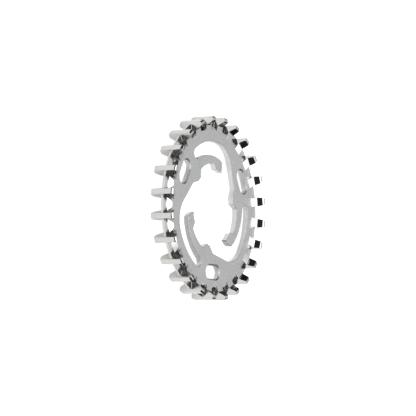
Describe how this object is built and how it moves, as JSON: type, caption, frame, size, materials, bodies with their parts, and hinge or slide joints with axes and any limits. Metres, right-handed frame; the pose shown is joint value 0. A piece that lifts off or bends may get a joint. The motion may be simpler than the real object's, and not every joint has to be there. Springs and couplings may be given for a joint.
{
  "type": "bicycle belt drive sprocket",
  "caption": "Flat toothed wheel for a bicycle drive belt, with a centre guide flange and spring hooks that grip a hub driver.",
  "frame": {"origin": "on the wheel axis, at the level of the back ends of the teeth, on which the part lies", "axes": "+Z along the wheel axis towards the front face, +X to the right and +Y up in the front view, with one long hole straight down within two degrees"},
  "size_m": [0.0818, 0.0818, 0.0112],
  "materials": {
    "steel": "satin plate with bright machined teeth"
  },
  "bodies": {
    "root": {"sprocket": "steel"}
  },
  "joints": []
}
